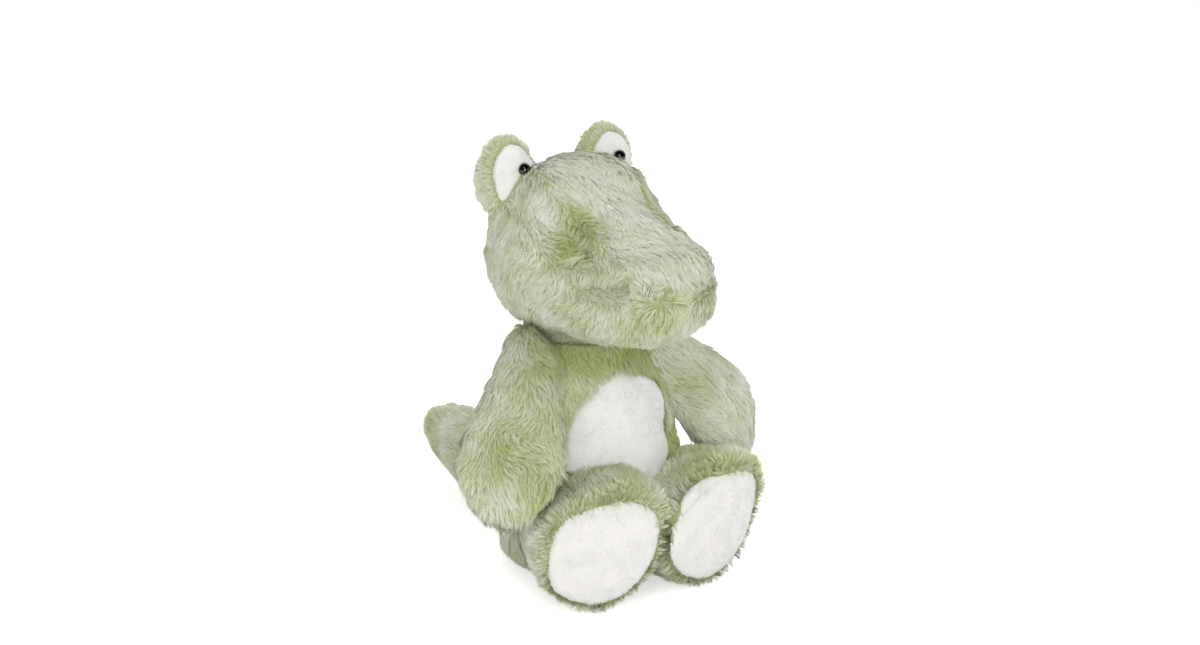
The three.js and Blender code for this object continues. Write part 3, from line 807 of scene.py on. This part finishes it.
def pileMesh(name, skin, faces, look, seed):
    made, shade, hue = growStrands(skin, faces, look, seed)
    points, normals, cloth = clothUnder(skin, faces, look["clothThickness"])
    count = len(points)
    offset = count + len(strandMap) * np.arange(len(made))
    strands = (offset[:, None, None] + np.array(strandFaces)[None]).reshape(-1, 3)
    corners = np.vstack([cloth, strands])
    mesh = makeMesh(name, np.vstack([points, made.reshape(-1, 3)]), corners)

    # the map: across is the strand's tone, up is from root to tip
    rng = np.random.default_rng(seed + 9)
    clothMap = np.stack([0.5 + 0.1 * rng.normal(size=count), 0.02 + 0.04 * rng.random(count)], 1)
    hairMap = np.empty((len(made), len(strandMap), 2))
    hairMap[..., 0] = hue[:, None] + toneWidth * strandMap[None, :, 0]
    hairMap[..., 1] = strandMap[None, :, 1]
    both = np.vstack([np.clip(clothMap, 0.01, 0.99), hairMap.reshape(-1, 2)])
    layer = mesh.uv_layers.new(name="OFBake")
    layer.data.foreach_set("uv", both[corners.ravel()].astype(np.float32).ravel())
    mesh.normals_split_custom_set_from_vertices(
        np.vstack([normals, shade.reshape(-1, 3)]).astype(np.float32))
    mesh.update()
    grown.append(len(made))
    return mesh


# Both piles take their colour from the map alone: root to tip, between a deep and a pale strand
pileColours = {
    "fur": {  # sage green, yellower at the roots, greyer and paler at the tips
        "deep": [(0.0, "#7b863e"), (0.35, "#a7b269"), (0.75, "#c3cd93"), (1.0, "#d1d8a9")],
        "pale": [(0.0, "#b9c19b"), (0.35, "#dbe1ca"), (0.75, "#eff2e8"), (1.0, "#f8f9f5")],
    },
    "plush": {  # white, a little warmer at the roots
        "deep": [(0.0, "#dcd9d5"), (0.5, "#e6e4e1"), (1.0, "#ecebe9")],
        "pale": [(0.0, "#e4e2df"), (0.5, "#efeeec"), (1.0, "#f4f3f2")],
    },
}


def pileMaterial(name, colours, sheen):
    material, tree = startMaterial(name)
    place = addNode(tree, "ShaderNodeUVMap", {"uv_map": "OFBake"})
    parts = addNode(tree, "ShaderNodeSeparateXYZ", links={"Vector": place.outputs["UV"]})
    ramps = []
    for stops in colours.values():
        ramp = addNode(tree, "ShaderNodeValToRGB", links={"Fac": parts.outputs["Y"]})
        setRamp(ramp, stops)
        ramps.append(ramp)
    colour = addNode(tree, "ShaderNodeMix", {"data_type": "RGBA"}, {
        0: parts.outputs["X"], 6: ramps[0].outputs["Color"], 7: ramps[1].outputs["Color"]})
    shader = addNode(tree, "ShaderNodeBsdfPrincipled", {
        "Roughness": 0.8, "Specular IOR Level": 0.1,
        "Sheen Weight": sheen, "Sheen Roughness": 0.5, "Sheen Tint": hexColour("#eef1da"),
    }, {"Base Color": colour.outputs[2]})
    showShader(tree, shader)
    return material


# Polyester faux fur with a long cut pile: silky pale tips over deeper roots, dark where it parts
furMaterial = pileMaterial("polyester fur, long cut pile", pileColours["fur"], 0.06)
# Polyester plush, sheared short: a matt white nap with a soft edge
plushMaterial = pileMaterial("polyester plush, sheared", pileColours["plush"], 0.04)


# Combing: which way the pile lies on each form

seeds = {"fur": 7, "plush": 5000, "filling": 700, "beanBag": 790}
pivots = {joint["child"]: np.array(joint["pos_m"]) for joint in frame["joints"]}
armSlant = {"left": (38, 15), "right": (36, 34)}  # degrees outwards and forwards


def armWay(side):
    out, ahead = (math.radians(v) for v in armSlant[side])
    return unit(np.array([sides[side] * math.tan(out), -math.tan(ahead), -1.0]))


headComb = {
    "whirl": np.array([-18, -117, 217]) * mm, "whirlFade": (14 * mm, 40 * mm),  # by the nose
    "lip": 222 * mm, "lipFade": 8 * mm,  # where the whirl ends
    "frontFade": (80 * mm, 108 * mm), "topFade": (0.2, 0.6),
    "top": np.array([0, -1, -0.35]), "cheek": np.array([0, 0.55, -0.85]), "front": np.array([0, 0, -1]),
}


def combHead(p, n):
    whirl = p - headComb["whirl"] * np.where(p[:, :1] < 0, [1, 1, 1], [-1, 1, 1])
    near = (1 - step(np.linalg.norm(whirl, axis=1), *headComb["whirlFade"]))[:, None]
    front = step(-p[:, 1], *headComb["frontFade"])[:, None]
    cheek = headComb["cheek"] * (1 - front) + headComb["front"] * front
    low = step(headComb["lip"] - p[:, 2], 0, headComb["lipFade"])[:, None]
    side = unit(whirl) * near * (1 - low) + cheek * (1 - near * (1 - low))
    top = step(n[:, 2], *headComb["topFade"])[:, None]
    return headComb["top"] * top + side * (1 - top)


def combFrom(node, back):
    # outwards from the middle of this solid, leaning back
    low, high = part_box(node)
    centre = np.array((low + high) / 2)
    return lambda p, n: unit((p - centre) * [1, 0, 1]) + np.array([0, back, 0])


def lookOf(**changes):
    return {**pile, **changes}


# fur panels: node to piece, form, strips that a large panel is grown in, axis across them, and look
furPanels = {
    # painted sheen: the head top's pile is given a paler tone for the light falling on its flat-lying fibres
    "head_top_panel": ("head_top_fur", "head", ("left", "right"), 0,
                       lookOf(comb=combHead, lift=18, tipLift=5, swirl=6, tone=0.26, toneSpread=0.7)),
    "chin_panel": ("chin_fur", "head", ("left", "middle", "right"), 0,
                   lookOf(comb=combHead, tone=0.04, swirl=12)),
    "body_back_panel": ("body_back_fur", "body", ("left", "middle", "right"), 0, lookOf()),
    "body_front_panel": ("body_front_fur", "body", ("left", "right"), 0, lookOf(tone=-0.2)),
    "seat_panel": ("seat_fur", "body", ("",), 0, lookOf(length=6 * mm, comb=towards(0, -1, 0))),
}
for side in sides:
    furPanels[f"cheek_panel_{side}"] = (
        f"cheek_fur_{side}", "head", ("",), 0, lookOf(comb=combHead, tone=0.1, swirl=14))
    furPanels[f"eye_mound_{side}"] = (
        f"eye_mound_fur_{side}", f"mound_{side}", ("",), 0,
        lookOf(comb=combFrom(f"eye_patch_{side}", 0.45), length=5.5 * mm,
               lift=42, tipLift=26, swirl=10, tone=0.06))
    # painted light: the left arm's pile is given a paler tone than the right arm's, though both are the same
    # cloth
    for part in ("outer", "inner"):
        furPanels[f"arm_{part}_panel_{side}"] = (
            f"arm_{part}_fur_{side}", f"arm_{side}", ("",), 0,
            lookOf(comb=towards(*armWay(side)), swirl=14, tone=0.02 if side == "right" else 0.13))
    furPanels[f"leg_cover_{side}"] = (
        f"leg_fur_{side}", f"leg_{side}", ("lower", "upper"), 2,
        lookOf(comb=combFrom(f"sole_{side}", 0.4), length=7 * mm,
               lift=42, tipLift=26, uneven=5, tone=-0.06, rimLift=22, rimOver=0.4))
    furPanels[f"tail_panel_{side}"] = (
        f"tail_fur_{side}", "tail", ("",), 0, lookOf(comb=towards(0, 1, 0)))

# where a limb's cover bends from the body into the limb: start and end of the bend, in mm
bendPlaces = {"arm": (-6, 28), "leg": ((45, -46, 40), (45, -78, 40)), "tail": ((0, 52, 30), (0, 85, 30))}
bends = {"tail": [np.array(place) * mm for place in bendPlaces["tail"]]}
for side, across in sides.items():
    bends[f"arm_{side}"] = [pivots[f"arm_{side}"] + armWay(side) * along * mm for along in bendPlaces["arm"]]
    bends[f"leg_{side}"] = [np.array(place) * [across, 1, 1] * mm for place in bendPlaces["leg"]]


def carry(piece, body):
    if body in bends:
        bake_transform(piece)
    else:
        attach(piece, body)


def bodyOf(form):
    return "head" if form.startswith("mound") else form


def facesOf(node, form):
    skin = skins[form]
    return skin, skin["faces"][skin["panel"] == forms[form]["panels"].index(node)], bodyOf(form)


for seed, (node, (name, form, strips, axis, look)) in enumerate(furPanels.items()):
    skin, faces, body = facesOf(node, form)
    place = skin["points"][faces].mean(1)[:, axis]
    order = np.argsort(-place if axis == 0 else place, kind="stable")
    for part, (strip, chosen) in enumerate(zip(strips, np.array_split(order, len(strips)))):
        stripName = f"{name}_{strip}" if strip else name
        mesh = pileMesh(stripName, skin, faces[np.sort(chosen)], look,
                        100 * seed + 10 * part + seeds["fur"])
        piece = addPiece(stripName, mesh, furMaterial)
        carry(piece, body)
        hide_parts(node)
print("fur grown:", sum(grown), "strands in", len(grown), "pieces")


# White panels: belly, soles and eye patches, in short plush

plush = {
    "perSquareMm": 2.2, "length": 1.8 * mm, "rootRadius": 0.26 * mm,
    "lift": 30, "tipLift": 18, "swirl": 12, "stray": 24, "clumpOf": 5, "clump": 0.2, "sag": 0.03,
    "toneSpread": 0.28, "clothThickness": 1 * mm,
}
plushPanels = {"belly_panel": ("belly_plush", "body", lookOf(**plush, tone=0.3))}
for side in sides:
    plushPanels[f"sole_{side}"] = (
        f"sole_plush_{side}", f"leg_{side}", lookOf(**plush, rows=2.4 * mm, tone=0.1))
    plushPanels[f"eye_patch_{side}"] = (
        f"eye_patch_plush_{side}", f"mound_{side}", lookOf(**plush, tone=-0.1))
for seed, (node, (name, form, look)) in enumerate(plushPanels.items()):
    skin, faces, body = facesOf(node, form)
    mesh = pileMesh(name, skin, faces, look, seeds["plush"] + 100 * seed)
    piece = addPiece(name, mesh, plushMaterial)
    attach(piece, body)
    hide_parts(node)
print("white panels laid:", sum(grown), "strands in all")


# Safety eyes: turned beads on their shanks, and the washers behind

bead = {
    "radius": 4.5 * mm, "dome": 4.6 * mm, "shank": 1.5 * mm, "sides": 48, "rings": 12,
    "rimShare": 0.93, "rimDepth": 0.5 * mm,  # the edge behind the dome
    "neckShare": 1.2, "neckDepth": 0.6 * mm, "neckEnd": 1.2 * mm,  # where the shank widens into it
    "tipShare": 0.8, "tipBevel": 0.3 * mm,
}


def turned(profile, count):
    # a closed turned piece about Y, from radius and place along the axis; both ends on the axis
    points, faces = [(0, profile[0][1], 0), (0, profile[-1][1], 0)], []
    rings = profile[1:-1]
    for radius, along in rings:
        for k in range(count):
            angle = 2 * math.pi * k / count
            points.append((radius * math.cos(angle), along, radius * math.sin(angle)))
    for k in range(count):
        n = (k + 1) % count
        faces.append((0, 2 + k, 2 + n))
        for ring in range(len(rings) - 1):
            low, high = 2 + ring * count, 2 + (ring + 1) * count
            faces += [(low + k, high + k, high + n), (low + k, high + n, low + n)]
        last = 2 + (len(rings) - 1) * count
        faces.append((1, last + n, last + k))
    return np.array(points, float), np.array(faces)


# ABS, moulded and polished: black, with one crisp highlight
black = patternMaterial(
    "ABS, moulded and polished", noise(1.2 * mm, 3.0), [(0.35, "#040404"), (0.75, "#0a0a0b")],
    {"IOR": 1.53, "Specular IOR Level": 0.7}, roughness={"To Min": 0.05, "To Max": 0.1})
# Polyethylene, moulded: milky and waxy, with faint flow marks
milky = patternMaterial(
    "polyethylene, moulded", noise(2.5 * mm, 2.0), [(0.3, "#dcdfdf"), (0.7, "#eceeee")],
    {"Roughness": 0.42, "IOR": 1.51})

for side in sides:
    low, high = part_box(f"eye_{side}")
    centre = (low + high) / 2
    seat = low.y + bead["dome"]
    arc = [math.pi / 2 * k / bead["rings"] for k in range(bead["rings"] + 1)]
    profile = [(bead["radius"] * math.sin(a), low.y + bead["dome"] * (1 - math.cos(a))) for a in arc]
    profile += [(bead["rimShare"] * bead["radius"], seat + bead["rimDepth"]),
                (bead["neckShare"] * bead["shank"], seat + bead["neckDepth"]),
                (bead["shank"], seat + bead["neckEnd"]), (bead["shank"], high.y - bead["tipBevel"]),
                (bead["tipShare"] * bead["shank"], high.y), (0, high.y)]
    points, faces = turned(profile, bead["sides"])
    mesh = makeMesh(f"eye_bead_{side}", points + np.array([centre.x, 0, centre.z]), faces)
    piece = addPiece(f"eye_bead_{side}", mesh, black)
    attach(piece, "head")
    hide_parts(f"eye_{side}")
    washer = frame["nodes"][f"eye_washer_{side}"].data
    washer.materials.clear()
    washer.materials.append(milky)
print("eyes set")


# Fillings: loose fibre under each cover, and a bag of pellets in the seat

filling = {
    "under": 4.5 * mm, "deepest": 8 * mm, "lump": 0.9 * mm, "lumpSize": 16 * mm,
    "voxel": 4 * mm, "smoothing": 8,
    "smallUnder": 0.4, "smallVoxel": 0.5,  # shares of these in the eye mounds
}
beanBag = {"voxel": 3 * mm, "under": 1 * mm, "pellet": 4 * mm, "bump": 0.35 * mm, "thread": 1.2 * mm}
waveBands = 20 / (2 * math.pi)  # bands of Blender's wave texture in a metre, at scale 1

# Polyester fibre, carded: a cloudy white wad of fine crossing threads
fibre = patternMaterial(
    "polyester fibre, carded", noise(6 * mm, 6.0, 1.2), [(0.3, "#d9dad8"), (0.7, "#f3f3f1")],
    {"Roughness": 0.95, "Specular IOR Level": 0.15}, relief={"Strength": 0.6, "Distance": 1.5 * mm})


def weave(tree, place):
    # a pattern of warp and weft
    bands = {"Scale": 1 / (beanBag["thread"] * waveBands), "Distortion": 0.4}
    warp, weft = (addNode(tree, "ShaderNodeTexWave", {"bands_direction": way, **bands}, {"Vector": place})
                  for way in ("X", "Y"))
    crossed = addNode(tree, "ShaderNodeMath", {"operation": "MULTIPLY"},
                      {0: warp.outputs["Fac"], 1: weft.outputs["Fac"]})
    return crossed.outputs[0]


# Cotton, plain woven: warp and weft threads, drawn coarser than the real 0.4 mm so that they show
cotton = patternMaterial(
    "cotton, plain woven", weave, [(0.0, "#cfc8b8"), (0.6, "#e9e4d8")],
    {"Roughness": 0.88, "Specular IOR Level": 0.2}, relief={"Strength": 0.5, "Distance": 0.3 * mm})


def wad(node, voxel, under, form, seed, lump, lumpSize):
    # the solid's own form, drawn in from the cover and made lumpy
    points, faces = remeshed([node], voxel, filling["smoothing"])
    normals = vertexNormals(points, faces)
    lumps = waves(seed, lumpSize)(points) * lump
    depth = np.minimum(under - form["rise"](points), under + filling["deepest"]) + np.maximum(lumps, 0)
    return points - normals * depth[:, None] + form["push"](points), faces


fillings = {"body_stuffing": "body", "head_stuffing": "head", "tail_stuffing": "tail"}
for side in sides:
    fillings[f"eye_mound_stuffing_{side}"] = f"mound_{side}"
    fillings[f"arm_stuffing_{side}"] = f"arm_{side}"
    fillings[f"leg_stuffing_{side}"] = f"leg_{side}"
for seed, (node, form) in enumerate(fillings.items()):
    small, body = form.startswith("mound"), bodyOf(form)
    voxel = (filling["smallVoxel"] if small else 1) * filling["voxel"]
    under = (filling["smallUnder"] if small else 1) * filling["under"]
    points, faces = wad(node, voxel, under, forms[form], seeds["filling"] + seed,
                        filling["lump"], filling["lumpSize"])
    name = node.replace("stuffing", "filling")
    piece = addPiece(name, makeMesh(name, points, faces), fibre)
    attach(piece, body)
    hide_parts(node)

points, faces = wad("seat_bean_bag", beanBag["voxel"], beanBag["under"], formOf([], [], [], []),
                    seeds["beanBag"], beanBag["bump"], beanBag["pellet"])
piece = addPiece("seat_pellet_bag", makeMesh("seat_pellet_bag", points, faces), cotton)
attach(piece, "body")
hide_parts("seat_bean_bag")
print("fillings packed:", len(fillings) + 1)


# Neck seam: two twisted plies drawn round the opening

neckThread = {
    "ply": 0.5 * mm, "drawnIn": 1.5 * mm, "pitch": 5 * mm, "wave": 0.3 * mm, "stitches": 40,
    "sides": 8, "stepsPerTwist": 8, "flatten": 0.8, "fill": 0.95,
}

# Nylon thread, twisted: sage green with a faint shine along each ply, darkened as painted shade so that the
# seam reads as the shadow in the neck
nylon = patternMaterial(
    "nylon thread, twisted", noise(0.8 * mm, 3.0), [(0.3, "#6b7442"), (0.7, "#848e58")],
    {"Roughness": 0.5, "Specular IOR Level": 0.4}, relief={"Strength": 0.4, "Distance": 0.2 * mm})


def makeNeckThread():
    low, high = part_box("neck_seam")
    ring = (high.x - low.x) / 2 - (high.z - low.z) / 2 - neckThread["drawnIn"]
    level = (low.z + high.z) / 2
    twists = round(2 * math.pi * ring / neckThread["pitch"])
    steps, count = twists * neckThread["stepsPerTwist"], neckThread["sides"]
    here = np.arange(steps)
    ahead = (here + 1) % steps
    t = here * 2 * math.pi / steps
    points, faces = [], []
    for ply in range(2):
        twist = twists * t + ply * math.pi
        reach = ring + neckThread["ply"] * np.cos(twist)
        rise = level + neckThread["ply"] * np.sin(twist) * neckThread["flatten"]
        rise = rise + neckThread["wave"] * np.sin(neckThread["stitches"] * t)
        offset = ply * steps * count
        for k in range(count):
            angle = 2 * math.pi * k / count
            r = reach + neckThread["ply"] * math.cos(angle) * neckThread["fill"]
            z = rise + neckThread["ply"] * math.sin(angle) * neckThread["fill"]
            points.append(np.stack([r * np.cos(t), r * np.sin(t), z], 1))
            row, above = offset + k * steps, offset + (k + 1) % count * steps
            faces.append(np.stack([row + here, row + ahead, above + ahead, above + here], 1))
    return makeMesh("neck_thread", np.vstack(points), np.vstack(faces))


piece = addPiece("neck_thread", makeNeckThread(), nylon)
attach(piece, "neck")
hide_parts("neck_seam")
print("neck sewn")
